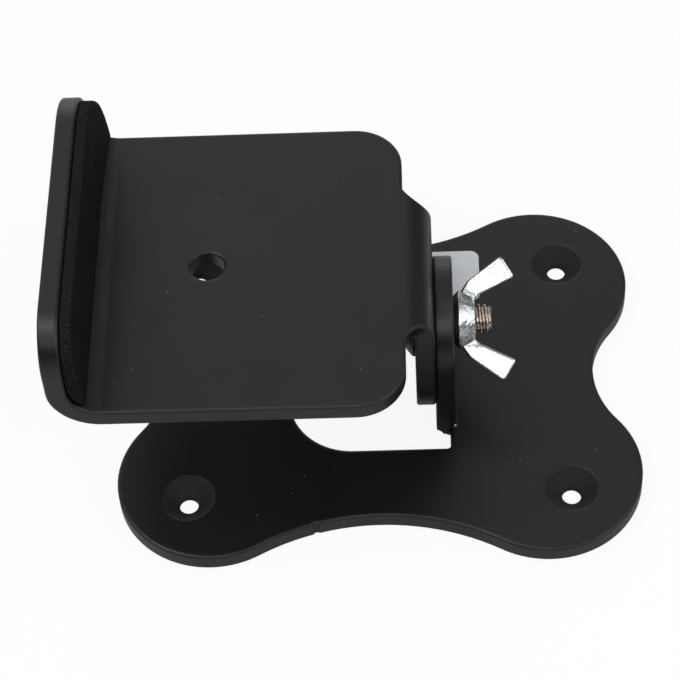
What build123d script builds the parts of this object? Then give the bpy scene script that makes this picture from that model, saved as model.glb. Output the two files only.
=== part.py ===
from build123d import *
from math import acos, atan2, cos, degrees, radians, sin, sqrt
import os

os.makedirs("parts", exist_ok=True)

# Frame: the wall plate lies with its back on Z = 0 and its centre on the origin.
# The tray swivels about the bolt, whose axis runs along X above the plate.

# Steel sheet shared by the wall plate and the tray, with the break on its edges
sheet = 4.0
edge_break = 0.35

# Closeness by which edges and faces are picked out
near = 0.01

# Wall plate outline: four lobes joined by hollow arcs, all tangent
lobe_x = 35.0
lobe_y = 25.0
lobe_r = 20.0
waist_r = 50.0
side_r = 20.0
waist_y = lobe_y + sqrt((waist_r + lobe_r) ** 2 - lobe_x**2)
side_x = lobe_x + sqrt((side_r + lobe_r) ** 2 - lobe_y**2)

# Countersunk wall screw holes
screw_spacing_x = 80.0
screw_spacing_y = 60.0
screw_hole_d = 4.0
screw_sink_d = 11.2
screw_sink_angle = 100.0

# Cutting nick left on the front edge of the plate
nick_x = -13.1
nick_width = 1.4
nick_depth = 0.55
nick_r = (nick_width**2 / 4 + nick_depth**2) / (2 * nick_depth)

# Bolt: quarter inch carriage bolt, its axis above the back of the plate
axis_z = 23.3
bolt_d = 6.35
bolt_length = 16.0
head_d = 14.8
head_height = 3.6
head_rim = 0.6
neck_length = 3.4
bolt_chamfer = 0.7

# The ears of plate and tray lie flat against each other on this plane
ears_meet_x = 12.3

# Ear of the plate, folded up out of the window
ear_width = 27.0
ear_fold_inner = 0.5
ear_fold_outer = ear_fold_inner + sheet
ear_right = ears_meet_x + sheet
ear_fold_x = ear_right + ear_fold_inner
bolt_play = 0.325
ear_hole_d = bolt_d + 2 * bolt_play

# Window the ear was folded from
window_left = -18.9
window_right = 15.2
window_width = 38.0
window_end_r = 13.5
window_corner_r = 0.8

# Tray: platform, lip at its left end and ear at its right
tray_depth = 72.5
tray_top = 43.3
tray_bottom = tray_top - sheet
tray_right = 6.5
tray_corner_r = 10.0
screw_x = -33.4
tray_hole_d = 7.0
tray_hole_break = 0.3
lip_outer = -63.05
lip_inner = lip_outer + sheet
lip_height = 21.6
lip_top = tray_top + lip_height
lip_front_r = 10.0
lip_back_flat = 0.6
lip_fold_inner = 6.0
lip_back_r = lip_height - lip_fold_inner - lip_back_flat
lip_fold_outer = lip_fold_inner + sheet
lip_fold_x = lip_inner + lip_fold_inner
lip_fold_z = tray_top + lip_fold_inner
tray_ear_width = 32.0
tray_ear_left = ears_meet_x - sheet
tray_ear_end_z = 20.6
tray_ear_bottom = tray_ear_end_z - tray_ear_width / 2
tray_fold_outer = ears_meet_x - tray_right
tray_fold_inner = tray_fold_outer - sheet
tray_fold_z = tray_top - tray_fold_outer
flare_r = 7.0
flare_from = 30.0
flare_steps = 6
flare_width = tray_ear_width + 2 * flare_r * (1 - sin(radians(flare_from)))
square_hole = bolt_d + 2 * bolt_play
square_hole_r = 0.6

# Foam pad stuck to the inside of the lip
pad_thick = 2.5
pad_lean = 0.9
pad_inset = 0.7
pad_round = 0.5
pad_gap = 0.2

# Wing nut on the bolt, base against the ear of the plate
nut_angle = 38.0
nut_foot_r = 4.9
nut_base_r = 6.1
nut_band = 1.2
nut_top_r = 4.3
nut_height = 4.6
nut_play = 0.15
nut_bore_d = bolt_d + 2 * nut_play
wing_thick = 2.4
wing_round = 0.55
wing_tip_r = 0.8
wing_root = 1.0
wing_out_x = 10.4
wing_out_r = 13.2
wing_in_x = 13.2
wing_in_r = 8.6
wing_low_x = 3.2
wing_low_r = 8.0
wing_high_x = 5.7
wing_high_r = 5.1

# Plain label on the plate behind the window
label_width = 45.6
label_depth = 14.0
label_back = 34.4
label_corner_r = 2.0
label_thick = 0.2

# Wall plate
lobe_start = degrees(atan2(-lobe_y, side_x - lobe_x))
lobe_end = degrees(atan2(waist_y - lobe_y, -lobe_x))
side_start = degrees(atan2(lobe_y, lobe_x - side_x))
waist_end = degrees(atan2(lobe_y - waist_y, lobe_x))
window_mid_x = (window_left + window_right) / 2
nick_edge_y = -(waist_y - sqrt(waist_r**2 - nick_x**2))

with BuildPart() as wall_plate:
    with BuildSketch(Plane.XY):
        with BuildLine():
            CenterArc((side_x, 0), side_r, side_start, 180 - side_start)
            CenterArc((lobe_x, lobe_y), lobe_r, lobe_start, lobe_end - lobe_start)
            CenterArc((0, waist_y), waist_r, -90, waist_end + 90)
            mirror(about=Plane.YZ)
            mirror(about=Plane.XZ)
        make_face()
    extrude(amount=sheet)
    with BuildSketch(Plane.XY) as window:
        with Locations((window_mid_x, 0)):
            Rectangle(window_right - window_left, window_width)
        fillet(window.vertices().group_by(Axis.X)[0], window_end_r)
        fillet(window.vertices().group_by(Axis.X)[-1], window_corner_r)
    extrude(amount=sheet, mode=Mode.SUBTRACT)
    rims = wall_plate.edges().group_by(Axis.Z)
    chamfer(rims[0] + rims[-1], edge_break)
    with Locations((0, 0, sheet)):
        with GridLocations(screw_spacing_x, screw_spacing_y, 2, 2):
            CounterSinkHole(screw_hole_d / 2, screw_sink_d / 2, sheet, screw_sink_angle)
    with BuildSketch(Plane.XY):
        with Locations((nick_x, nick_edge_y - nick_r + nick_depth)):
            Circle(nick_r)
    extrude(amount=sheet, mode=Mode.SUBTRACT)
    with BuildSketch(Plane.YZ.offset(ears_meet_x)):
        with Locations((0, axis_z)):
            Circle(ear_width / 2)
        with Locations((0, (axis_z + ear_fold_outer) / 2)):
            Rectangle(ear_width, axis_z - ear_fold_outer)
    extrude(amount=sheet)
    ear_rim = wall_plate.edges().filter_by_position(Axis.X, ears_meet_x - near, ear_right + near)
    ear_rim = ear_rim.filter_by_position(Axis.Z, ear_fold_outer + near, axis_z + ear_width)
    ear_rim = ear_rim.filter_by(lambda edge: abs(edge.length - sheet) > near)
    chamfer(ear_rim, edge_break)
    with BuildSketch(Plane.XY):
        with Locations((ear_fold_x - sheet / 2, 0)):
            Rectangle(sheet, ear_width)
    extrude(amount=sheet, mode=Mode.SUBTRACT)
    with BuildSketch(Plane.XY.offset(ear_fold_outer)):
        with Locations((ears_meet_x + sheet / 2, 0)):
            section = Rectangle(sheet, ear_width)
        chamfer(section.vertices(), edge_break)
    revolve(axis=Axis((ear_fold_x, 0, ear_fold_outer), (0, -1, 0)), revolution_arc=90)
    with BuildSketch(Plane.YZ.offset(ears_meet_x)):
        with Locations((0, axis_z)):
            Circle(ear_hole_d / 2)
    extrude(amount=sheet, mode=Mode.SUBTRACT)
wall_plate.part.label = "wall_plate"
export_step(wall_plate.part, "parts/wall_plate.step")

# Tongue of the tray: it narrows as it folds down, and ends in the ear
fold_centre = (tray_right, 0, tray_fold_z)
with BuildPart() as tongue:
    with BuildSketch(Plane.YZ.offset(tray_ear_left)):
        with Locations((0, tray_ear_end_z)):
            Circle(tray_ear_width / 2)
        with Locations((0, (tray_ear_end_z + tray_fold_z) / 2)):
            Rectangle(tray_ear_width, tray_fold_z - tray_ear_end_z)
    extrude(amount=sheet)
    ear_rim = tongue.edges().filter_by_position(Axis.Z, tray_ear_bottom - near, tray_fold_z - near)
    ear_rim = ear_rim.filter_by(lambda edge: abs(edge.length - sheet) > near)
    chamfer(ear_rim, edge_break)
    with BuildSketch(Plane.YZ.offset(tray_ear_left)):
        with Locations((0, axis_z)):
            RectangleRounded(square_hole, square_hole, square_hole_r)
    extrude(amount=sheet, mode=Mode.SUBTRACT)
    for step in range(flare_steps + 1):
        lean = radians(flare_from + (90 - flare_from) * step / flare_steps)
        turn = flare_r * (cos(radians(flare_from)) - cos(lean)) / tray_fold_outer
        width = tray_ear_width + 2 * flare_r * (1 - sin(lean))
        across = Plane(fold_centre, x_dir=(sin(turn), 0, cos(turn)), z_dir=(cos(turn), 0, -sin(turn)))
        with BuildSketch(across):
            with Locations((tray_fold_inner + sheet / 2, 0)):
                section = Rectangle(sheet, width)
            chamfer(section.vertices(), edge_break)
    loft()
    with BuildSketch(across):
        with Locations((tray_fold_inner + sheet / 2, 0)):
            section = Rectangle(sheet, tray_ear_width)
        chamfer(section.vertices(), edge_break)
    revolve(axis=Axis(fold_centre, (0, 1, 0)), revolution_arc=90 - degrees(turn))
    with BuildSketch(Plane.YZ.offset(tray_right - 2 * edge_break)):
        with Locations((0, tray_top - sheet / 2)):
            Rectangle(flare_width + 2 * edge_break, sheet)
    extrude(amount=2 * edge_break)

# Tray: platform and lip, with the tongue at its right edge
with BuildPart() as tray:
    with BuildSketch(Plane.XZ):
        with BuildLine():
            Line((lip_inner, lip_top), (lip_outer, lip_top))
            Line((lip_outer, lip_top), (lip_outer, lip_fold_z))
            CenterArc((lip_fold_x, lip_fold_z), lip_fold_outer, 180, 90)
            Line((lip_fold_x, tray_bottom), (tray_right, tray_bottom))
            Line((tray_right, tray_bottom), (tray_right, tray_top))
            Line((tray_right, tray_top), (lip_fold_x, tray_top))
            CenterArc((lip_fold_x, lip_fold_z), lip_fold_inner, 180, 90)
            Line((lip_inner, lip_fold_z), (lip_inner, lip_top))
        make_face()
    extrude(amount=tray_depth / 2, both=True)
    fillet(tray.edges().filter_by(Axis.X).group_by(Axis.Z)[-1].sort_by(Axis.Y)[0], lip_front_r)
    fillet(tray.edges().filter_by(Axis.X).group_by(Axis.Z)[-1].sort_by(Axis.Y)[-1], lip_back_r)
    fillet(tray.edges().filter_by(Axis.Z).group_by(Axis.X)[-1], tray_corner_r)
    rim = tray.edges().filter_by(lambda edge: abs(edge.length - sheet) > near)
    rim = rim.filter_by(lambda edge: edge.length < tray_depth - near)
    chamfer(rim, edge_break)
    with BuildSketch(Plane.XY.offset(tray_bottom)):
        with Locations((screw_x, 0)):
            Circle(tray_hole_d / 2)
    extrude(amount=sheet, mode=Mode.SUBTRACT)
    hole_rims = tray.edges().filter_by(GeomType.CIRCLE)
    hole_rims = hole_rims.filter_by(lambda edge: abs(edge.radius - tray_hole_d / 2) < near)
    chamfer(hole_rims, tray_hole_break)
    add(tongue.part)
tray.part.label = "tray"
export_step(tray.part, "parts/tray.step")

# Foam pad of the lip: its foot follows the fold and pushes its face outwards
pad_top = lip_top - pad_inset
pad_fold_r = lip_fold_inner - pad_gap
pad_foot_x = lip_inner + pad_thick + pad_lean
pad_foot_turn = degrees(acos((lip_fold_x - pad_foot_x) / pad_fold_r))
pad_foot_z = lip_fold_z - pad_fold_r * sin(radians(pad_foot_turn))
with BuildPart() as lip_pad:
    with BuildSketch(Plane.XZ):
        with BuildLine():
            CenterArc((lip_fold_x, lip_fold_z), pad_fold_r, 180, pad_foot_turn)
            Polyline(
                (pad_foot_x, pad_foot_z),
                (lip_inner + pad_thick, pad_top),
                (lip_inner, pad_top),
                (lip_inner, lip_fold_z),
                (lip_inner + pad_gap, lip_fold_z),
            )
        make_face()
    extrude(amount=tray_depth / 2, both=True)
    with BuildSketch(Plane.YZ.offset(lip_inner)) as pad_view:
        with Locations((0, (tray_top + pad_top) / 2)):
            Rectangle(tray_depth - 2 * pad_inset, pad_top - tray_top)
        fillet(pad_view.vertices().group_by(Axis.Y)[-1].sort_by(Axis.X)[0], lip_front_r - pad_inset)
        fillet(pad_view.vertices().group_by(Axis.Y)[-1].sort_by(Axis.X)[-1], lip_back_r - pad_inset)
    extrude(amount=pad_thick + pad_lean, mode=Mode.INTERSECT)
    fillet(lip_pad.faces().sort_by(Axis.X)[-1].edges(), pad_round)
lip_pad.part.label = "lip_pad"
export_step(lip_pad.part, "parts/lip_pad.step")

# Carriage bolt, head against the ear of the tray
head_cap = head_height - head_rim
dome_r = (head_d**2 / 4 + head_cap**2) / (2 * head_cap)
bolt_end = tray_ear_left + bolt_length
axis_plane = Plane(origin=(0, 0, axis_z), x_dir=(1, 0, 0), z_dir=(0, -1, 0))
with BuildPart() as carriage_bolt:
    with BuildSketch(axis_plane):
        with BuildLine():
            Line((tray_ear_left - head_height, 0), (bolt_end, 0))
            Line((bolt_end, 0), (bolt_end, bolt_d / 2 - bolt_chamfer))
            Line((bolt_end, bolt_d / 2 - bolt_chamfer), (bolt_end - bolt_chamfer, bolt_d / 2))
            Line((bolt_end - bolt_chamfer, bolt_d / 2), (tray_ear_left, bolt_d / 2))
            Line((tray_ear_left, bolt_d / 2), (tray_ear_left, head_d / 2))
            Line((tray_ear_left, head_d / 2), (tray_ear_left - head_rim, head_d / 2))
            RadiusArc((tray_ear_left - head_rim, head_d / 2), (tray_ear_left - head_height, 0), -dome_r)
        make_face()
    revolve(axis=Axis((0, 0, axis_z), (1, 0, 0)))
    with BuildSketch(Plane.YZ.offset(tray_ear_left)):
        with Locations((0, axis_z)):
            Rectangle(bolt_d, bolt_d)
    extrude(amount=neck_length)
carriage_bolt.part.label = "carriage_bolt"
export_step(carriage_bolt.part, "parts/carriage_bolt.step")

# Wing nut
nut_x = ear_right
nut_top = nut_x + nut_height
wing_normal = (0, -sin(radians(nut_angle)), cos(radians(nut_angle)))
nut_plane = Plane(origin=(nut_x, 0, axis_z), x_dir=(1, 0, 0), z_dir=wing_normal)
with BuildPart() as wing_nut:
    with BuildSketch(nut_plane) as wings:
        with BuildLine():
            Polyline(
                (nut_band, 0),
                (nut_band, nut_base_r - wing_root),
                (wing_low_x, wing_low_r),
                (wing_out_x, wing_out_r),
                (wing_in_x, wing_in_r),
                (wing_high_x, wing_high_r),
                (nut_height - wing_root, nut_top_r - wing_root),
                (nut_height - wing_root, 0),
                close=True,
            )
        make_face()
        fillet(wings.vertices().sort_by(Axis.X)[-2:], wing_tip_r)
        mirror(about=Plane.XZ)
    extrude(amount=wing_thick / 2, both=True)
    wing_sides = wing_nut.edges().group_by(Axis((0, 0, 0), wing_normal))
    fillet(wing_sides[0] + wing_sides[-1], wing_round)
    with BuildSketch(nut_plane):
        with BuildLine():
            Polyline(
                (0, 0),
                (0, nut_foot_r),
                (nut_band, nut_base_r),
                (nut_height, nut_top_r),
                (nut_height, 0),
                close=True,
            )
        make_face()
    revolve(axis=Axis((nut_x, 0, axis_z), (1, 0, 0)))
    with BuildSketch(Plane.YZ.offset(nut_x)):
        with Locations((0, axis_z)):
            Circle(nut_bore_d / 2)
    extrude(amount=nut_height, mode=Mode.SUBTRACT)
wing_nut.part.label = "wing_nut"
export_step(wing_nut.part, "parts/wing_nut.step")

# Label
with BuildPart() as label:
    with BuildSketch(Plane.XY.offset(sheet)):
        with Locations((0, label_back - label_depth / 2)):
            RectangleRounded(label_width, label_depth, label_corner_r)
    extrude(amount=label_thick)
label.part.label = "label"
export_step(label.part, "parts/label.step")
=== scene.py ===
import math

import bmesh
import bpy
from bpy.props import FloatProperty, FloatVectorProperty, IntProperty, PointerProperty
from bpy.types import Operator, Panel, PropertyGroup
from mathutils import Matrix, Vector, noise


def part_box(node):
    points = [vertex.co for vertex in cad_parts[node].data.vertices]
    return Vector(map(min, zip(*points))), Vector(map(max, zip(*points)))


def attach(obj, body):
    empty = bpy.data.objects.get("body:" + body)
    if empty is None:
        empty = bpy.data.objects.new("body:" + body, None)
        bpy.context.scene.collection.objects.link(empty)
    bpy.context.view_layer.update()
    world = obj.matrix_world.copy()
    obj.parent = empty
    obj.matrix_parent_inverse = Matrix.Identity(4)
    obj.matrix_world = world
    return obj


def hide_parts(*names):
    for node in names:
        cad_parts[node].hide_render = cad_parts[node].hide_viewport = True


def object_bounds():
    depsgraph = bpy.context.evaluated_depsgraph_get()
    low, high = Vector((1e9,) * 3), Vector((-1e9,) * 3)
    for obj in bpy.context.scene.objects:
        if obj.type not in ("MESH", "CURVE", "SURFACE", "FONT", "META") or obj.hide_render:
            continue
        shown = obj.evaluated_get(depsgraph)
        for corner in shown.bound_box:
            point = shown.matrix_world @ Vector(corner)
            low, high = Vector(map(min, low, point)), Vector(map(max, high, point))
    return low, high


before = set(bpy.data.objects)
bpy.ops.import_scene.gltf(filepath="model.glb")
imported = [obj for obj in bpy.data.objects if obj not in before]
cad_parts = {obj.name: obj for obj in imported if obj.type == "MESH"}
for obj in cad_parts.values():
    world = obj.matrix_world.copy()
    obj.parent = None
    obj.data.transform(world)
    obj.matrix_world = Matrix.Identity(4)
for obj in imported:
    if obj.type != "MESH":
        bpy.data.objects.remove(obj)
cad_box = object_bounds()

bl_info = {
    "name": "Speaker Wall Bracket",
    "version": (1, 0, 0),
    "blender": (4, 5, 0),
    "location": "3D View > Sidebar > Bracket",
    "description": "Finishes the packed wall bracket and sets it on a pale studio floor",
    "category": "Object",
}

MM = 0.001
PHOTO_PIXELS = 680
SENSOR = 36.0

# Sockets of the Mix node when it mixes colours
MIX_FACTOR = 0
MIX_A = 6
MIX_B = 7
MIX_RESULT = 2

# Steel sheet of the wall plate and the tray
SHEET = 4.0 * MM

# Screw sink at the plate's back right, which the other three mirror
SINK_CENTRE = (40 * MM, 30 * MM, 0)
SINK_RADIUS = 5.55 * MM

# Chip of bare metal at the foot of the plate's ear
CHIP_CENTRE = (16.35 * MM, -13.35 * MM, 4.1 * MM)
CHIP_RADIUS = 0.19 * MM

# Burr where the plate's ear was torn from its window. Its front stands just before the ear's edge,
# and its top points are sunk into the ear. The outline runs across and up, in millimetres.
BURR_FRONT = -13.53 * MM
BURR_DEPTH = 0.9 * MM
BURR_TOP = 6.0
BURR_TOP_SUNK = 0.1 * MM
BURR_OUTLINE = (
    (12.32, BURR_TOP), (12.32, 2.95), (12.9, 2.55), (13.45, 2.0), (13.85, 1.2),
    (14.15, 1.3), (14.35, 1.8), (15.2, 2.1), (15.2, BURR_TOP),
)
BURR_SHARP = math.radians(30)

# Foam pad: the lengths over which its cut faces wander, and where its back end starts to come away,
# as a share of the way from its middle to its end
FOAM_WAVE = 5 * MM
FOAM_RIPPLE = 1.2 * MM
FOAM_LOOSE_FROM = 0.4

# Quarter inch carriage bolt
BOLT_RADIUS = 3.175 * MM
BOLT_CHAMFER = 0.75 * MM
BOLT_END_INSET = 1.2 * MM
BOLT_SHARP = math.radians(40)
HEAD_RIM = 0.6 * MM
NECK_LENGTH = 3.4 * MM
NECK_CORNER = 0.5 * MM
NECK_SLOPE = 0.3 * MM
NECK_END_INSET = 0.1 * MM
DOME_STEPS = 16
TURN_STEPS = 16

# Thread: its flat root and its sloping flank, as shares of half the pitch
THREAD_ROOT = 0.2
THREAD_FLANK = 0.62

# Wing nut: the turn of its wings about the bolt, and how far from the bolt's axis its hub ends and
# its wings begin
WING_ANGLE = math.radians(38)
HUB_END = 5.6 * MM
WING_START = 6.6 * MM

# Floor
FLOOR_RADIUS = 4.0
FLOOR_DROP = 0.1 * MM

# Soft square lamps that point at the bracket: name, its power among the settings, place and width
LAMPS = (
    ("front_lamp", "front_power", (0.06, -0.83, 0.77), 0.4),
    ("left_lamp", "left_power", (-0.66, -0.24, 1.15), 0.9),
    ("right_lamp", "right_power", (0.95, -0.55, 0.8), 0.9),
    ("side_lamp", "side_power", (1.2, 0.2, 0.78), 0.9),
)

# Places that the frame gives
bolt_low, bolt_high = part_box("carriage_bolt")
axis_z = (bolt_low.z + bolt_high.z) / 2
ear_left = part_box("tray")[1].x - SHEET


class CoatSettings(PropertyGroup):
    """Powder coat of the wall plate and the tray"""

    plate_colour: FloatVectorProperty(
        name="Plate colour", description="Coat of the wall plate", subtype="COLOR", size=4,
        min=0, max=1, default=(0.0025, 0.0031, 0.0037, 1),
    )
    tray_colour: FloatVectorProperty(
        name="Tray colour", description="Coat of the tray", subtype="COLOR", size=4,
        min=0, max=1, default=(0.0022, 0.0034, 0.0047, 1),
    )
    smudge_colour: FloatVectorProperty(
        name="Smudges", description="Coat where it is faintly smudged", subtype="COLOR", size=4,
        min=0, max=1, default=(0.0016, 0.0018, 0.0010, 1),
    )
    # Lighter edge colour, partly wear and partly a painted highlight along the rims
    worn_and_highlight_colour: FloatVectorProperty(
        name="Rubbed edge", description="Coat where the edges are rubbed", subtype="COLOR", size=4,
        min=0, max=1, default=(0.012, 0.012, 0.0123, 1),
    )
    chip_colour: FloatVectorProperty(
        name="Chipped coat", description="Bare metal of the chip", subtype="COLOR", size=4,
        min=0, max=1, default=(0.72, 0.72, 0.7, 1),
    )
    dust_colour: FloatVectorProperty(
        name="Dust", description="Specks of dust on the coat", subtype="COLOR", size=4,
        min=0, max=1, default=(0.11, 0.11, 0.113, 1),
    )
    grain_size: FloatProperty(
        name="Grain", description="Size of the coat's fine grain", default=0.32 * MM, unit="LENGTH",
    )
    grain_depth: FloatProperty(
        name="Grain depth", description="Depth of the fine grain", default=0.012 * MM, unit="LENGTH",
    )
    edge_radius: FloatProperty(
        name="Edge radius", description="How far the coat rounds the edges",
        default=0.8 * MM, unit="LENGTH",
    )


class FoamSettings(PropertyGroup):
    """Foam pad of the lip"""

    skin_colour: FloatVectorProperty(
        name="Foam skin", description="Colour of the foam's pressed face", subtype="COLOR", size=4,
        min=0, max=1, default=(0.0096, 0.0096, 0.0094, 1),
    )
    cut_colour: FloatVectorProperty(
        name="Cut foam", description="Colour of the foam's cut edges", subtype="COLOR", size=4,
        min=0, max=1, default=(0.0064, 0.0063, 0.0059, 1),
    )
    cell_colour: FloatVectorProperty(
        name="Cell walls", description="Colour of the raised cell walls", subtype="COLOR", size=4,
        min=0, max=1, default=(0.027, 0.0266, 0.0246, 1),
    )
    lint_colour: FloatVectorProperty(
        name="Lint", description="Specks of lint on the foam", subtype="COLOR", size=4,
        min=0, max=1, default=(0.03, 0.03, 0.029, 1),
    )
    cell_size: FloatProperty(
        name="Cells", description="Size of the foam's cells", default=0.45 * MM, unit="LENGTH",
    )
    mesh_size: FloatProperty(
        name="Mesh size", description="Mesh size of the pad", default=0.35 * MM, unit="LENGTH",
    )
    loose_end: FloatProperty(
        name="Loose end", description="How far the pad's back end has come away",
        default=0.9 * MM, unit="LENGTH",
    )
    waviness: FloatProperty(
        name="Waviness", description="How far the cut faces wander", default=0.12 * MM, unit="LENGTH",
    )


class HardwareSettings(PropertyGroup):
    """Carriage bolt and wing nut"""

    thread_pitch: FloatProperty(
        name="Thread pitch", description="Pitch of the bolt's thread", default=1.27 * MM, unit="LENGTH",
    )
    thread_depth: FloatProperty(
        name="Thread depth", description="Depth of the bolt's thread", default=0.72 * MM, unit="LENGTH",
    )
    ring_points: IntProperty(
        name="Ring points", description="Points round the bolt", default=72, min=24,
    )
    steel_colour: FloatVectorProperty(
        name="Bolt", description="Plated steel of the bolt", subtype="COLOR", size=4,
        min=0, max=1, default=(0.66, 0.58, 0.52, 1),
    )
    # Painted shade: a near-black, non-metal colour on the bolt's head that stands for the shade and
    # dark reflections it sits in under the tray
    head_shade_colour: FloatVectorProperty(
        name="Bolt head", description="Black coat of the bolt's head", subtype="COLOR", size=4,
        min=0, max=1, default=(0.012, 0.012, 0.0125, 1),
    )
    # Painted shade on the thread's flanks, tinted brown: the flanks are darkened so that the crests and
    # roots read as bright lines
    flank_shade_colour: FloatVectorProperty(
        name="Thread dirt", description="Oil and dirt on the thread's flanks", subtype="COLOR", size=4,
        min=0, max=1, default=(0.16, 0.1, 0.07, 1),
    )
    zinc_colour: FloatVectorProperty(
        name="Wing nut", description="Zinc of the wing nut", subtype="COLOR", size=4,
        min=0, max=1, default=(0.94, 0.95, 0.955, 1),
    )
    zinc_dark: FloatVectorProperty(
        name="Dull zinc", description="Duller patches of the zinc", subtype="COLOR", size=4,
        min=0, max=1, default=(0.72, 0.75, 0.77, 1),
    )
    zinc_tarnish: FloatVectorProperty(
        name="Tarnished hub", description="Tarnished patches of the nut's hub", subtype="COLOR", size=4,
        min=0, max=1, default=(0.42, 0.45, 0.46, 1),
    )
    # Painted shade: dark grey on the sides of the wings, which stands for the dark reflections of their
    # edges
    wing_side_shade: FloatVectorProperty(
        name="Wing sides", description="Dull sides of the wings", subtype="COLOR", size=4,
        min=0, max=1, default=(0.16, 0.165, 0.17, 1),
    )
    wing_facing: FloatVectorProperty(
        name="Wing facing", description="Way that the flats of the wings face",
        subtype="DIRECTION", size=3, default=(0.0, -math.sin(WING_ANGLE), math.cos(WING_ANGLE)),
    )
    nut_mesh_size: FloatProperty(
        name="Nut mesh size", description="Mesh size of the wing nut", default=0.12 * MM, unit="LENGTH",
    )


class LabelSettings(PropertyGroup):
    """Plain label of the wall plate"""

    colour: FloatVectorProperty(
        name="Film", description="Colour of the bare film", subtype="COLOR", size=4,
        min=0, max=1, default=(0.74, 0.77, 0.81, 1),
    )
    shade: FloatVectorProperty(
        name="Film shade", description="Colour of the film's faint clouds", subtype="COLOR", size=4,
        min=0, max=1, default=(0.69, 0.72, 0.76, 1),
    )


class StageSettings(PropertyGroup):
    """Camera, lamps and floor"""

    azimuth: FloatProperty(
        name="Azimuth", description="Camera's turn round the bracket", subtype="ANGLE",
        default=math.radians(3.31999802),
    )
    elevation: FloatProperty(
        name="Elevation", description="Camera's height above the horizon", subtype="ANGLE",
        default=math.radians(52.35221753),
    )
    roll: FloatProperty(
        name="Roll", description="Camera's turn about its own axis", subtype="ANGLE",
        default=math.radians(-4.22642616),
    )
    distance: FloatProperty(
        name="Distance", description="From the camera to its target",
        default=533.684 * MM, unit="LENGTH",
    )
    target: FloatVectorProperty(
        name="Target", description="Point that the camera looks at", subtype="TRANSLATION", size=3,
        default=(-8.3691 * MM, 13.4740 * MM, 0.0),
    )
    focal_pixels: FloatProperty(
        name="Focal length", description="Camera's focal length in picture pixels", default=2420.65,
    )
    floor_colour: FloatVectorProperty(
        name="Floor", description="Colour of the floor in the light that it throws back",
        subtype="COLOR", size=4, min=0, max=1, default=(0.5, 0.5, 0.5, 1),
    )
    floor_white: FloatVectorProperty(
        name="Seen floor", description="Colour of the floor to the camera", subtype="COLOR", size=4,
        min=0, max=1, default=(0.96, 0.96, 0.96, 1),
    )
    floor_mirrored: FloatProperty(
        name="Mirrored white", description="Share of white that the floor has in reflections",
        subtype="FACTOR", min=0, max=1, default=0.16,
    )
    floor_share: FloatProperty(
        name="Floor shadow", description="Share of the floor's look that takes the shadow",
        subtype="FACTOR", min=0, max=1, default=0.1,
    )
    front_power: FloatProperty(
        name="Front lamp", description="Power of the soft lamp in front", default=2.0, unit="POWER",
    )
    left_power: FloatProperty(
        name="Left lamp", description="Power of the soft lamp on the left", default=8.5, unit="POWER",
    )
    right_power: FloatProperty(
        name="Right lamp", description="Power of the soft lamp on the right", default=5.5, unit="POWER",
    )
    side_power: FloatProperty(
        name="Side lamp", description="Power of the weak lamp at the right side",
        default=2.4, unit="POWER",
    )


def add_node(tree, kind, values=None, **settings):
    """Adds a node with its settings, and sets or links its inputs."""
    made = tree.nodes.new(kind)
    for name, value in settings.items():
        setattr(made, name, value)
    for name, value in (values or {}).items():
        if isinstance(value, bpy.types.NodeSocket):
            tree.links.new(value, made.inputs[name])
        else:
            made.inputs[name].default_value = value
    return made


def maths(tree, operation, first, second=0.0, clamp=False):
    """Adds a Math node and returns its result."""
    made = add_node(tree, "ShaderNodeMath", {0: first, 1: second}, operation=operation, use_clamp=clamp)
    return made.outputs[0]


def mixed_colours(tree, factor, first, second):
    """Adds a Mix node for two colours and returns the mixed colour."""
    values = {MIX_FACTOR: factor, MIX_A: first, MIX_B: second}
    made = add_node(tree, "ShaderNodeMix", values, data_type="RGBA")
    return made.outputs[MIX_RESULT]


def ranged(tree, value, low, high, to_low, to_high):
    """Adds a Map Range node that takes low..high to to_low..to_high, and returns its result."""
    made = add_node(tree, "ShaderNodeMapRange", {0: value, 1: low, 2: high, 3: to_low, 4: to_high})
    return made.outputs[0]


def new_group(name, inputs, outputs):
    """Makes a shader node group with named sockets, and returns its tree, inputs and outputs."""
    tree = bpy.data.node_groups.new(name, "ShaderNodeTree")
    for label, kind, default in inputs:
        socket = tree.interface.new_socket(label, in_out="INPUT", socket_type=kind)
        if default is not None:
            socket.default_value = default
    for label, kind in outputs:
        tree.interface.new_socket(label, in_out="OUTPUT", socket_type=kind)
    group_in = tree.nodes.new("NodeGroupInput")
    group_out = tree.nodes.new("NodeGroupOutput")
    return tree, group_in.outputs, group_out.inputs


def grain_group():
    """Fine grain and slow mottling of a sprayed or cast surface."""
    tree, given, out = new_group(
        "Surface Grain",
        [
            ("Position", "NodeSocketVector", None),
            ("Grain Size", "NodeSocketFloat", 0.3 * MM),
            ("Mottle Size", "NodeSocketFloat", 12.0 * MM),
        ],
        [("Height", "NodeSocketFloat"), ("Mottle", "NodeSocketFloat")],
    )
    fine_scale = maths(tree, "DIVIDE", 1.0, given["Grain Size"])
    fine = add_node(
        tree, "ShaderNodeTexNoise",
        {"Vector": given["Position"], "Scale": fine_scale, "Detail": 2.0, "Roughness": 0.55},
    )
    slow_scale = maths(tree, "DIVIDE", 1.0, given["Mottle Size"])
    slow = add_node(
        tree, "ShaderNodeTexNoise",
        {"Vector": given["Position"], "Scale": slow_scale, "Detail": 4.0, "Roughness": 0.6},
    )
    tree.links.new(fine.outputs["Fac"], out["Height"])
    tree.links.new(slow.outputs["Fac"], out["Mottle"])
    return tree


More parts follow.
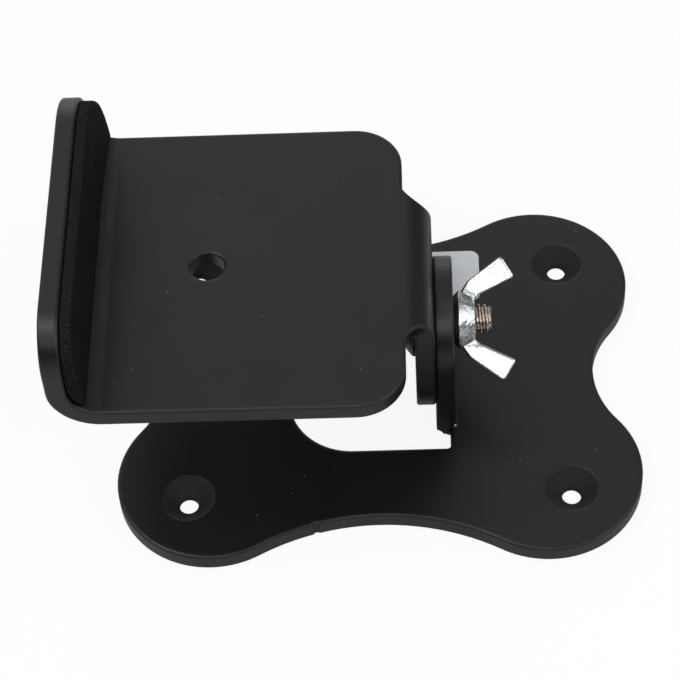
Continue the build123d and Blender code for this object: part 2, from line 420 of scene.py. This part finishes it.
def edge_group():
    """Rounded normal and mask of the edges."""
    tree, given, out = new_group(
        "Soft Edge",
        [("Radius", "NodeSocketFloat", 0.8 * MM)],
        [("Normal", "NodeSocketVector"), ("Mask", "NodeSocketFloat")],
    )
    rounded = add_node(tree, "ShaderNodeBevel", {"Radius": given["Radius"]}, samples=6)
    surface = add_node(tree, "ShaderNodeNewGeometry")
    likeness = add_node(
        tree, "ShaderNodeVectorMath",
        {0: rounded.outputs["Normal"], 1: surface.outputs["Normal"]},
        operation="DOT_PRODUCT",
    )
    mask = ranged(tree, likeness.outputs["Value"], 0.99, 0.8, 0.0, 1.0)
    tree.links.new(rounded.outputs["Normal"], out["Normal"])
    tree.links.new(mask, out["Mask"])
    return tree


def dust_group():
    """Scattered specks of dust."""
    tree, given, out = new_group(
        "Dust Specks",
        [
            ("Position", "NodeSocketVector", None),
            ("Spacing", "NodeSocketFloat", 4.0 * MM),
            ("Speck Size", "NodeSocketFloat", 0.05),
            ("Amount", "NodeSocketFloat", 0.3),
        ],
        [("Mask", "NodeSocketFloat")],
    )
    scale = maths(tree, "DIVIDE", 1.0, given["Spacing"])
    cells = add_node(tree, "ShaderNodeTexVoronoi", {"Vector": given["Position"], "Scale": scale})
    near = maths(tree, "LESS_THAN", cells.outputs["Distance"], given["Speck Size"])
    pick = add_node(tree, "ShaderNodeSeparateColor", {"Color": cells.outputs["Color"]})
    chosen = maths(tree, "LESS_THAN", pick.outputs[0], given["Amount"])
    tree.links.new(maths(tree, "MULTIPLY", near, chosen), out["Mask"])
    return tree


def chip_group():
    """A ragged chip round one point."""
    tree, given, out = new_group(
        "Chipped Spot",
        [
            ("Position", "NodeSocketVector", None),
            ("Centre", "NodeSocketVector", None),
            ("Radius", "NodeSocketFloat", 0.3 * MM),
        ],
        [("Mask", "NodeSocketFloat")],
    )
    away = add_node(
        tree, "ShaderNodeVectorMath",
        {0: given["Position"], 1: given["Centre"]},
        operation="DISTANCE",
    )
    ragged = add_node(
        tree, "ShaderNodeTexNoise",
        {"Vector": given["Position"], "Scale": 1 / (0.4 * MM), "Detail": 2.0},
    )
    reach = maths(tree, "MULTIPLY", given["Radius"], maths(tree, "ADD", ragged.outputs["Fac"], 0.5))
    tree.links.new(maths(tree, "LESS_THAN", away.outputs["Value"], reach), out["Mask"])
    return tree


def sink_group():
    """Countersinks of the four wall screws, where the coat is thin and rough."""
    tree, given, out = new_group(
        "Screw Sinks",
        [
            ("Position", "NodeSocketVector", None),
            ("Centre", "NodeSocketVector", None),
            ("Radius", "NodeSocketFloat", 5.6 * MM),
        ],
        [("Mask", "NodeSocketFloat")],
    )
    folded = add_node(tree, "ShaderNodeVectorMath", {0: given["Position"]}, operation="ABSOLUTE")
    flat = add_node(
        tree, "ShaderNodeVectorMath",
        {0: folded.outputs["Vector"], 1: (1, 1, 0)},
        operation="MULTIPLY",
    )
    away = add_node(
        tree, "ShaderNodeVectorMath",
        {0: flat.outputs["Vector"], 1: given["Centre"]},
        operation="DISTANCE",
    )
    tree.links.new(maths(tree, "LESS_THAN", away.outputs["Value"], given["Radius"]), out["Mask"])
    return tree


def cell_group():
    """Closed cells of foam."""
    tree, given, out = new_group(
        "Foam Cells",
        [("Position", "NodeSocketVector", None), ("Cell Size", "NodeSocketFloat", 0.45 * MM)],
        [("Height", "NodeSocketFloat"), ("Wall", "NodeSocketFloat")],
    )
    scale = maths(tree, "DIVIDE", 1.0, given["Cell Size"])
    cells = add_node(tree, "ShaderNodeTexVoronoi", {"Vector": given["Position"], "Scale": scale})
    edges = add_node(
        tree, "ShaderNodeTexVoronoi",
        {"Vector": given["Position"], "Scale": scale},
        feature="DISTANCE_TO_EDGE",
    )
    tree.links.new(cells.outputs["Distance"], out["Height"])
    tree.links.new(ranged(tree, edges.outputs["Distance"], 0.12, 0.0, 0.0, 1.0), out["Wall"])
    return tree


def place_group(tree, name, maker, values):
    """Places a shared node group, built once, in a material, and returns its outputs."""
    group = bpy.data.node_groups.get(name) or maker()
    return add_node(tree, "ShaderNodeGroup", values, node_tree=group).outputs


def new_material(finish):
    """Makes an empty material, and returns it with its tree, shader and surface position."""
    material = bpy.data.materials.new(finish + "_finish")
    material.use_nodes = True
    tree = material.node_tree
    shader = tree.nodes["Principled BSDF"]
    position = add_node(tree, "ShaderNodeTexCoord").outputs["Object"]
    return material, tree, shader, position


def coat_material(name, colour, settings, sinks=(), chips=()):
    """Satin powder coat with grain, smudges, edges lightened by wear and by painted highlight, and
    dust, and with rough sinks and chips.
    """
    material, tree, shader, position = new_material(name)
    grain = place_group(
        tree, "Surface Grain", grain_group,
        {"Position": position, "Grain Size": settings.grain_size, "Mottle Size": 14 * MM},
    )
    edge = place_group(tree, "Soft Edge", edge_group, {"Radius": settings.edge_radius})
    dust = place_group(
        tree, "Dust Specks", dust_group,
        {"Position": position, "Spacing": 3.2 * MM, "Speck Size": 0.05, "Amount": 0.35},
    )
    # Edges lighten in patches, partly wear and partly a painted highlight along the rims
    worn_and_highlit = maths(tree, "MULTIPLY", edge["Mask"], grain["Mottle"])
    smudge = ranged(tree, grain["Mottle"], 0.46, 0.6, 0.0, 1.0)
    base = mixed_colours(tree, smudge, tuple(colour), tuple(settings.smudge_colour))
    base = mixed_colours(tree, worn_and_highlit, base, tuple(settings.worn_and_highlight_colour))
    base = mixed_colours(tree, dust["Mask"], base, tuple(settings.dust_colour))
    for centre, radius in chips:
        chip = place_group(
            tree, "Chipped Spot", chip_group,
            {"Position": position, "Centre": centre, "Radius": radius},
        )
        base = mixed_colours(tree, chip["Mask"], base, tuple(settings.chip_colour))
    bump = add_node(
        tree, "ShaderNodeBump",
        {
            "Strength": 0.6,
            "Distance": settings.grain_depth,
            "Height": grain["Height"],
            "Normal": edge["Normal"],
        },
    )
    roughness = ranged(tree, grain["Mottle"], 0.3, 0.7, 0.34, 0.4)
    for centre, radius in sinks:
        sink = place_group(
            tree, "Screw Sinks", sink_group,
            {"Position": position, "Centre": centre, "Radius": radius},
        )
        rough_sink = maths(tree, "MULTIPLY", sink["Mask"], 0.78)
        roughness = maths(tree, "MAXIMUM", roughness, rough_sink)
    tree.links.new(base, shader.inputs["Base Color"])
    tree.links.new(roughness, shader.inputs["Roughness"])
    tree.links.new(bump.outputs["Normal"], shader.inputs["Normal"])
    shader.inputs["Specular IOR Level"].default_value = 0.5
    return material


def foam_material(settings):
    """Dull black foam with a smooth skin, fine cells in its cut edges and a little lint."""
    material, tree, shader, position = new_material("foam")
    cells = place_group(
        tree, "Foam Cells", cell_group,
        {"Position": position, "Cell Size": settings.cell_size},
    )
    dust = place_group(
        tree, "Dust Specks", dust_group,
        {"Position": position, "Spacing": 2 * MM, "Speck Size": 0.06, "Amount": 0.15},
    )
    normal = add_node(tree, "ShaderNodeTexCoord").outputs["Normal"]
    facing = add_node(tree, "ShaderNodeSeparateXYZ", {0: normal})
    skin = ranged(tree, maths(tree, "ABSOLUTE", facing.outputs["X"]), 0.55, 0.8, 0.0, 1.0)
    base = mixed_colours(tree, cells["Wall"], tuple(settings.cut_colour), tuple(settings.cell_colour))
    base = mixed_colours(tree, skin, base, tuple(settings.skin_colour))
    base = mixed_colours(tree, dust["Mask"], base, tuple(settings.lint_colour))
    bump = add_node(
        tree, "ShaderNodeBump", {"Strength": 0.5, "Distance": 0.1 * MM, "Height": cells["Height"]},
    )
    tree.links.new(base, shader.inputs["Base Color"])
    tree.links.new(ranged(tree, cells["Wall"], 0.0, 1.0, 0.95, 0.8), shader.inputs["Roughness"])
    tree.links.new(bump.outputs["Normal"], shader.inputs["Normal"])
    shader.inputs["Specular IOR Level"].default_value = 0.06
    return material


def steel_material(settings):
    """Warm plated steel with painted shade, tinted brown, on the thread's flanks, and a near-black
    colour painted on the head as its shade.
    """
    material, tree, shader, position = new_material("bolt_steel")
    grain = place_group(
        tree, "Surface Grain", grain_group,
        {"Position": position, "Grain Size": 0.15 * MM, "Mottle Size": 2 * MM},
    )
    groove = add_node(tree, "ShaderNodeAttribute", attribute_name="groove")
    patches = ranged(tree, grain["Mottle"], 0.3, 0.7, 0.6, 1.0)
    # Painted shade on the thread's flanks, darkest halfway down each flank and patchy along the thread
    flank_shade = maths(tree, "MULTIPLY", groove.outputs["Fac"], patches)
    base = mixed_colours(tree, flank_shade, tuple(settings.steel_colour), tuple(settings.flank_shade_colour))
    along = add_node(tree, "ShaderNodeSeparateXYZ", {0: position})
    # Painted shade: left of the tray's ear the head takes the near-black colour and is not metal
    head = maths(tree, "LESS_THAN", along.outputs["X"], ear_left)
    base = mixed_colours(tree, head, base, tuple(settings.head_shade_colour))
    bump = add_node(
        tree, "ShaderNodeBump", {"Strength": 0.4, "Distance": 0.01 * MM, "Height": grain["Height"]},
    )
    tree.links.new(base, shader.inputs["Base Color"])
    tree.links.new(ranged(tree, grain["Mottle"], 0.3, 0.7, 0.2, 0.34), shader.inputs["Roughness"])
    tree.links.new(bump.outputs["Normal"], shader.inputs["Normal"])
    tree.links.new(maths(tree, "SUBTRACT", 1.0, head), shader.inputs["Metallic"])
    return material


def zinc_material(settings):
    """Bright zinc with painted shade on the wing sides, and a tarnished hub with the dents of a
    casting.
    """
    material, tree, shader, position = new_material("nut_zinc")
    grain = place_group(
        tree, "Surface Grain", grain_group,
        {"Position": position, "Grain Size": 0.5 * MM, "Mottle Size": 3 * MM},
    )
    dull = ranged(tree, grain["Mottle"], 0.45, 0.7, 0.0, 1.0)
    base = mixed_colours(tree, dull, tuple(settings.zinc_colour), tuple(settings.zinc_dark))
    normal = add_node(tree, "ShaderNodeTexCoord").outputs["Normal"]
    facing = add_node(
        tree, "ShaderNodeVectorMath", {0: normal, 1: settings.wing_facing}, operation="DOT_PRODUCT",
    )
    # Painted shade: faces out on the wings that turn away from the flats take the dark grey of the wing
    # sides
    side = ranged(tree, maths(tree, "ABSOLUTE", facing.outputs["Value"]), 0.9, 0.55, 0.0, 1.0)
    across = add_node(tree, "ShaderNodeVectorMath", {0: position, 1: (0, 1, 1)}, operation="MULTIPLY")
    away = add_node(
        tree, "ShaderNodeVectorMath",
        {0: across.outputs["Vector"], 1: (0, 0, axis_z)},
        operation="DISTANCE",
    )
    wing = ranged(tree, away.outputs["Value"], HUB_END, WING_START, 0.0, 1.0)
    base = mixed_colours(tree, maths(tree, "MULTIPLY", side, wing), base, tuple(settings.wing_side_shade))
    hub = maths(tree, "SUBTRACT", 1.0, wing)
    dents = place_group(
        tree, "Surface Grain", grain_group,
        {"Position": position, "Grain Size": 1.7 * MM, "Mottle Size": 2.2 * MM},
    )
    tarnish = maths(tree, "MULTIPLY", hub, ranged(tree, dents["Mottle"], 0.4, 0.56, 0.3, 1.0))
    base = mixed_colours(tree, tarnish, base, tuple(settings.zinc_tarnish))
    hub_dents = maths(tree, "SUBTRACT", dents["Height"], 0.5)
    hub_dents = maths(tree, "MULTIPLY", hub_dents, hub)
    hub_bump = add_node(
        tree, "ShaderNodeBump", {"Strength": 0.75, "Distance": 0.36 * MM, "Height": hub_dents},
    )
    bump = add_node(
        tree, "ShaderNodeBump",
        {
            "Strength": 0.5,
            "Distance": 0.06 * MM,
            "Height": grain["Height"],
            "Normal": hub_bump.outputs["Normal"],
        },
    )
    satin = maths(tree, "MULTIPLY", hub, 0.06)
    roughness = maths(tree, "ADD", ranged(tree, grain["Mottle"], 0.3, 0.7, 0.16, 0.3), satin)
    tree.links.new(base, shader.inputs["Base Color"])
    tree.links.new(roughness, shader.inputs["Roughness"])
    tree.links.new(bump.outputs["Normal"], shader.inputs["Normal"])
    shader.inputs["Metallic"].default_value = 1.0
    return material


def film_material(settings):
    """Bare pale film with faint clouds and a slightly uneven surface."""
    material, tree, shader, position = new_material("label_film")
    grain = place_group(
        tree, "Surface Grain", grain_group,
        {"Position": position, "Grain Size": 1.2 * MM, "Mottle Size": 6 * MM},
    )
    cloud = ranged(tree, grain["Mottle"], 0.35, 0.65, 0.0, 1.0)
    base = mixed_colours(tree, cloud, tuple(settings.colour), tuple(settings.shade))
    bump = add_node(
        tree, "ShaderNodeBump", {"Strength": 0.3, "Distance": 0.02 * MM, "Height": grain["Height"]},
    )
    tree.links.new(base, shader.inputs["Base Color"])
    tree.links.new(ranged(tree, grain["Mottle"], 0.3, 0.7, 0.38, 0.5), shader.inputs["Roughness"])
    tree.links.new(bump.outputs["Normal"], shader.inputs["Normal"])
    return material


def finish_node(name, material):
    """Gives a node of the frame its finish."""
    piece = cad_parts[name]
    piece.data.materials.clear()
    piece.data.materials.append(material)


def add_piece(name, mesh, slot, material, body, *stands_for):
    """Links a new piece, smooth all over, with its finish, body and the node that it stands for."""
    for polygon in mesh.polygons:
        polygon.use_smooth = True
    mesh.materials.clear()
    mesh.materials.append(material)
    piece = bpy.data.objects.new(name, mesh)
    bpy.context.scene.collection.objects.link(piece)
    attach(piece, body)
    if stands_for:
        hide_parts(*stands_for)
    return piece


def softened_copy(node, mesh_size, passes):
    """An even, softened mesh of a node's form: welded, remeshed and smoothed."""
    welded = bmesh.new()
    welded.from_mesh(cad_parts[node].data)
    bmesh.ops.remove_doubles(welded, verts=welded.verts, dist=0.001 * MM)
    mesh = bpy.data.meshes.new(node + "_form")
    welded.to_mesh(mesh)
    welded.free()
    source = bpy.data.objects.new(node + "_form", mesh)
    bpy.context.scene.collection.objects.link(source)
    remesh = source.modifiers.new("Even mesh", "REMESH")
    remesh.mode = "VOXEL"
    remesh.voxel_size = mesh_size
    smooth = source.modifiers.new("Soft edges", "SMOOTH")
    smooth.factor = 0.5
    smooth.iterations = passes
    graph = bpy.context.evaluated_depsgraph_get()
    made = bpy.data.meshes.new_from_object(source.evaluated_get(graph), depsgraph=graph)
    bpy.data.objects.remove(source)
    return made


def burr_mesh():
    """Ragged tooth at the foot of the plate's ear."""
    shape = bmesh.new()
    front = []
    for x, z in BURR_OUTLINE:
        sunk = BURR_TOP_SUNK if z == BURR_TOP else 0.0
        front.append(shape.verts.new((x * MM, BURR_FRONT + sunk, z * MM)))
    grown = bmesh.ops.extrude_face_region(shape, geom=[shape.faces.new(front)])["geom"]
    for item in grown:
        if isinstance(item, bmesh.types.BMVert):
            item.co.y += BURR_DEPTH
    bmesh.ops.recalc_face_normals(shape, faces=shape.faces)
    mesh = bpy.data.meshes.new("fold_burr")
    shape.to_mesh(mesh)
    shape.free()
    return mesh


class BRACKET_OT_wall_plate(Operator):
    """Coat the wall plate and add the burr at the foot of its ear"""

    bl_idname = "bracket.wall_plate"
    bl_label = "Wall Plate"

    def execute(self, context):
        settings = context.scene.bracket_coat
        coat = coat_material(
            "plate_coat", settings.plate_colour, settings,
            sinks=[(SINK_CENTRE, SINK_RADIUS)],
            chips=[(CHIP_CENTRE, CHIP_RADIUS)],
        )
        finish_node("wall_plate", coat)
        mesh = burr_mesh()
        add_piece("fold_burr", mesh, "plate_coat", coat, "wall_plate")
        mesh.set_sharp_from_angle(angle=BURR_SHARP)
        return {"FINISHED"}


class BRACKET_OT_tray(Operator):
    """Coat the tray"""

    bl_idname = "bracket.tray"
    bl_label = "Tray"

    def execute(self, context):
        settings = context.scene.bracket_coat
        coat = coat_material("tray_coat", settings.tray_colour, settings)
        finish_node("tray", coat)
        return {"FINISHED"}


class BRACKET_OT_foam_pad(Operator):
    """Make the foam pad of the lip"""

    bl_idname = "bracket.foam_pad"
    bl_label = "Foam Pad"

    def execute(self, context):
        settings = context.scene.bracket_foam
        mesh = softened_copy("lip_pad", settings.mesh_size, passes=1)
        low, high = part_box("lip_pad")
        outward = [vertex.normal.copy() for vertex in mesh.vertices]
        for vertex, normal in zip(mesh.vertices, outward):
            free = (vertex.co.x - low.x) / (high.x - low.x)
            # The faces away from the lip wander a little inward
            sway = noise.noise(vertex.co / FOAM_WAVE) + 0.5 * noise.noise(vertex.co / FOAM_RIPPLE)
            vertex.co -= normal * settings.waviness * free * (0.6 + 0.4 * sway)
            # The back end comes away from the lip, most at its foot
            along = vertex.co.y / high.y
            loose = max(0.0, (along - FOAM_LOOSE_FROM) / (1 - FOAM_LOOSE_FROM)) ** 2
            foot = 1 - (vertex.co.z - low.z) / (high.z - low.z)
            vertex.co.x += settings.loose_end * loose * free * (0.3 + 0.7 * foot)
        pad = add_piece("foam_pad", mesh, "foam", foam_material(settings), "tray", "lip_pad")
        return {"FINISHED"}


def thread_ring(x, settings):
    """A ring of the bolt's thread, chamfered at the bolt's end, with a mask of its flanks for painted
    shade.
    """

    def radius_at(angle):
        phase = (x / settings.thread_pitch - angle / math.tau) % 1.0
        flank = abs(2 * phase - 1)
        height = min(1.0, max(0.0, (flank - THREAD_ROOT) / THREAD_FLANK))
        chamfer = BOLT_RADIUS - BOLT_CHAMFER + (bolt_high.x - x)
        radius = BOLT_RADIUS - settings.thread_depth * (1 - height)
        # The second value is the flank mask for the painted shade: 1 halfway down a flank, 0 at crest
        # and root
        return min(radius, chamfer), 1 - abs(2 * height - 1)

    return x, radius_at


def neck_ring(x):
    """A ring of the bolt's square neck, with round corners."""

    def radius_at(angle):
        across = max(abs(math.cos(angle)), abs(math.sin(angle)))
        return min(BOLT_RADIUS / across, BOLT_RADIUS * math.sqrt(2) - NECK_CORNER), 0

    return x, radius_at


def round_ring(x, radius):
    """A clean round ring of the bolt."""
    return x, lambda angle: (radius, 0)


def bolt_rings(settings):
    """Rings of the bolt from its dome to its end: a place along X, and radius and flank shade by angle.
    """
    head_radius = (bolt_high.z - bolt_low.z) / 2
    dome_height = ear_left - bolt_low.x - HEAD_RIM
    dome_radius = (head_radius**2 + dome_height**2) / (2 * dome_height)
    neck_end = ear_left + NECK_LENGTH
    thread_length = bolt_high.x - neck_end
    rings = []
    for step in range(1, DOME_STEPS + 1):
        lean = math.asin(head_radius / dome_radius) * step / DOME_STEPS
        x = bolt_low.x + dome_radius * (1 - math.cos(lean))
        rings.append(round_ring(x, dome_radius * math.sin(lean)))
    rings.append(round_ring(ear_left - HEAD_RIM * 0.4, head_radius))
    rings.append(round_ring(ear_left - HEAD_RIM * 0.1, head_radius - HEAD_RIM * 0.1))
    rings.append(round_ring(ear_left, head_radius - HEAD_RIM * 0.4))
    rings.append(neck_ring(ear_left))
    rings.append(neck_ring(neck_end - NECK_SLOPE))
    rings.append(round_ring(neck_end, BOLT_RADIUS - NECK_END_INSET))
    steps = int(thread_length / settings.thread_pitch * TURN_STEPS)
    for step in range(1, steps + 1):
        rings.append(thread_ring(neck_end + thread_length * step / steps, settings))
    rings.append(round_ring(bolt_high.x, BOLT_RADIUS - BOLT_END_INSET))
    return rings


def ring_mesh(name, rings, count):
    """A closed mesh through rings along X round the bolt's axis, with their painted flank shade as
    groove.
    """
    shape = bmesh.new()
    groove = shape.verts.layers.float.new("groove")
    loops = []
    for x, radius_at in rings:
        loop = []
        for point in range(count):
            angle = math.tau * point / count
            radius, flank_shade = radius_at(angle)
            place = (x, radius * math.cos(angle), axis_z + radius * math.sin(angle))
            vertex = shape.verts.new(place)
            vertex[groove] = flank_shade
            loop.append(vertex)
        loops.append(loop)
    first = shape.verts.new((bolt_low.x, 0, axis_z))
    last = shape.verts.new((bolt_high.x, 0, axis_z))
    for point in range(count):
        after = (point + 1) % count
        shape.faces.new((first, loops[0][after], loops[0][point]))
        shape.faces.new((last, loops[-1][point], loops[-1][after]))
        for near, far in zip(loops, loops[1:]):
            shape.faces.new((near[point], near[after], far[after], far[point]))
    bmesh.ops.recalc_face_normals(shape, faces=shape.faces)
    mesh = bpy.data.meshes.new(name)
    shape.to_mesh(mesh)
    shape.free()
    return mesh


class BRACKET_OT_carriage_bolt(Operator):
    """Make the carriage bolt with its dome, square neck and thread"""

    bl_idname = "bracket.carriage_bolt"
    bl_label = "Carriage Bolt"

    def execute(self, context):
        settings = context.scene.bracket_hardware
        mesh = ring_mesh("threaded_bolt", bolt_rings(settings), settings.ring_points)
        steel = steel_material(settings)
        add_piece("threaded_bolt", mesh, "bolt_steel", steel, "tray", "carriage_bolt")
        mesh.set_sharp_from_angle(angle=BOLT_SHARP)
        return {"FINISHED"}


class BRACKET_OT_wing_nut(Operator):
    """Make the wing nut with its soft cast edges"""

    bl_idname = "bracket.wing_nut"
    bl_label = "Wing Nut"

    def execute(self, context):
        settings = context.scene.bracket_hardware
        mesh = softened_copy("wing_nut", settings.nut_mesh_size, passes=2)
        add_piece("cast_wing_nut", mesh, "nut_zinc", zinc_material(settings), "wing_nut", "wing_nut")
        return {"FINISHED"}


class BRACKET_OT_label(Operator):
    """Finish the plain label"""

    bl_idname = "bracket.label"
    bl_label = "Label"

    def execute(self, context):
        finish_node("label", film_material(context.scene.bracket_label))
        return {"FINISHED"}


def floor_material(settings):
    """Floor that reads as white, keeps the shadow and shows some of its white in reflections."""
    material, tree, shader, _ = new_material("floor")
    path = add_node(tree, "ShaderNodeLightPath")
    seen = maths(tree, "MAXIMUM", path.outputs["Is Camera Ray"], path.outputs["Is Transmission Ray"])
    base = mixed_colours(tree, seen, tuple(settings.floor_colour), tuple(settings.floor_white))
    tree.links.new(base, shader.inputs["Base Color"])
    shader.inputs["Roughness"].default_value = 0.9
    shader.inputs["Specular IOR Level"].default_value = 0.0
    white = add_node(tree, "ShaderNodeEmission", {"Color": (1, 1, 1, 1), "Strength": 1.0})
    mirrored = maths(tree, "MULTIPLY", path.outputs["Is Glossy Ray"], settings.floor_mirrored)
    share = maths(tree, "MULTIPLY", maths(tree, "MAXIMUM", seen, mirrored), 1 - settings.floor_share)
    mix = add_node(
        tree, "ShaderNodeMixShader",
        {0: share, 1: shader.outputs["BSDF"], 2: white.outputs["Emission"]},
    )
    tree.links.new(mix.outputs["Shader"], tree.nodes["Material Output"].inputs["Surface"])
    return material


def studio_world():
    """White to the camera. In light and reflections it is bright above and behind and dim in front."""
    world = bpy.data.worlds.new("studio")
    bpy.context.scene.world = world
    world.use_nodes = True
    tree = world.node_tree
    surroundings = tree.nodes["Background"]
    direction = add_node(tree, "ShaderNodeTexCoord").outputs["Generated"]
    parts = add_node(tree, "ShaderNodeSeparateXYZ", {0: direction})
    right = parts.outputs["X"]
    behind = parts.outputs["Y"]
    # Glow behind, which fades out to the right
    glow = ranged(tree, behind, 0.2, 0.7, 0.0, 0.3)
    glow = maths(tree, "MULTIPLY", glow, ranged(tree, right, 0.05, 0.4, 1.0, 0.0))
    # Ceiling, which is dimmer to the right and dark in front
    above = ranged(tree, parts.outputs["Z"], 0.0, 0.9, 0.2, 0.45)
    above = maths(tree, "MULTIPLY", above, ranged(tree, right, 0.1, 0.5, 1.0, 0.45))
    above = maths(tree, "MULTIPLY", above, ranged(tree, behind, -0.75, -0.2, 0.15, 1.0))
    # Bright band low behind
    horizon = ranged(tree, behind, 0.8, 1.0, 0.0, 0.8)
    level = maths(tree, "ADD", maths(tree, "ADD", glow, above), horizon)
    surroundings.inputs["Color"].default_value = (1, 1, 1, 1)
    tree.links.new(level, surroundings.inputs["Strength"])
    white = add_node(tree, "ShaderNodeBackground", {"Color": (1, 1, 1, 1), "Strength": 1.0})
    path = add_node(tree, "ShaderNodeLightPath")
    mix = add_node(
        tree, "ShaderNodeMixShader",
        {0: path.outputs["Is Camera Ray"], 1: surroundings.outputs[0], 2: white.outputs[0]},
    )
    tree.links.new(mix.outputs["Shader"], tree.nodes["World Output"].inputs["Surface"])


def add_lamp(name, place, width, power):
    """Adds a soft square lamp that points at the bracket."""
    light = bpy.data.lights.new(name, "AREA")
    light.shape = "SQUARE"
    light.size = width
    light.energy = power
    lamp = bpy.data.objects.new(name, light)
    lamp.location = place
    lamp.rotation_euler = (-Vector(place)).to_track_quat("-Z", "Y").to_euler()
    bpy.context.scene.collection.objects.link(lamp)


def add_camera(settings):
    """Places the camera at the photo's viewing angle."""
    level = math.cos(settings.elevation)
    back = Vector((
        math.sin(settings.azimuth) * level,
        -math.cos(settings.azimuth) * level,
        math.sin(settings.elevation),
    ))
    right = (-back).cross(Vector((0, 0, 1))).normalized()
    up = right.cross(-back)
    turned_right = right * math.cos(settings.roll) + up * math.sin(settings.roll)
    turned_up = up * math.cos(settings.roll) - right * math.sin(settings.roll)
    data = bpy.data.cameras.new("camera")
    data.sensor_width = SENSOR
    data.lens = settings.focal_pixels / PHOTO_PIXELS * SENSOR
    camera = bpy.data.objects.new("camera", data)
    place = Vector(settings.target) + back * settings.distance
    turn = Matrix((turned_right, turned_up, back)).transposed().to_4x4()
    camera.matrix_world = Matrix.Translation(place) @ turn
    bpy.context.scene.collection.objects.link(camera)
    bpy.context.scene.camera = camera


class BRACKET_OT_stage(Operator):
    """Set the floor, the lamps, the surroundings and the camera"""

    bl_idname = "bracket.stage"
    bl_label = "Stage"

    def execute(self, context):
        settings = context.scene.bracket_stage
        shape = bmesh.new()
        bmesh.ops.create_circle(shape, cap_ends=True, segments=96, radius=FLOOR_RADIUS)
        mesh = bpy.data.meshes.new("floor")
        shape.to_mesh(mesh)
        shape.free()
        mesh.materials.append(floor_material(settings))
        floor = bpy.data.objects.new("floor", mesh)
        floor.location.z = cad_box[0].z - FLOOR_DROP
        context.scene.collection.objects.link(floor)
        studio_world()
        for name, power, place, width in LAMPS:
            add_lamp(name, place, width, getattr(settings, power))
        add_camera(settings)
        context.scene.view_settings.view_transform = "Standard"
        return {"FINISHED"}


PIECE_OPERATORS = (
    BRACKET_OT_wall_plate,
    BRACKET_OT_tray,
    BRACKET_OT_foam_pad,
    BRACKET_OT_carriage_bolt,
    BRACKET_OT_wing_nut,
    BRACKET_OT_label,
    BRACKET_OT_stage,
)

SETTINGS = {
    "bracket_coat": CoatSettings,
    "bracket_foam": FoamSettings,
    "bracket_hardware": HardwareSettings,
    "bracket_label": LabelSettings,
    "bracket_stage": StageSettings,
}


class BRACKET_PT_pieces(Panel):
    """Pieces and finishes of the bracket"""

    bl_idname = "BRACKET_PT_pieces"
    bl_label = "Speaker Wall Bracket"
    bl_space_type = "VIEW_3D"
    bl_region_type = "UI"
    bl_category = "Bracket"

    def draw(self, context):
        for operator in PIECE_OPERATORS:
            self.layout.operator(operator.bl_idname)
        for name, group in SETTINGS.items():
            box = self.layout.box()
            box.label(text=group.__doc__)
            for prop in group.__annotations__:
                box.prop(getattr(context.scene, name), prop)


def register():
    for group in SETTINGS.values():
        bpy.utils.register_class(group)
    for name, group in SETTINGS.items():
        setattr(bpy.types.Scene, name, PointerProperty(type=group))
    for operator in PIECE_OPERATORS:
        bpy.utils.register_class(operator)
    bpy.utils.register_class(BRACKET_PT_pieces)


def unregister():
    bpy.utils.unregister_class(BRACKET_PT_pieces)
    for operator in reversed(PIECE_OPERATORS):
        bpy.utils.unregister_class(operator)
    for name in SETTINGS:
        delattr(bpy.types.Scene, name)
    for group in reversed(SETTINGS.values()):
        bpy.utils.unregister_class(group)


def main():
    register()
    bpy.ops.bracket.wall_plate()
    bpy.ops.bracket.tray()
    bpy.ops.bracket.foam_pad()
    bpy.ops.bracket.carriage_bolt()
    bpy.ops.bracket.wing_nut()
    bpy.ops.bracket.label()
    bpy.ops.bracket.stage()


if __name__ == "__main__":
    main()
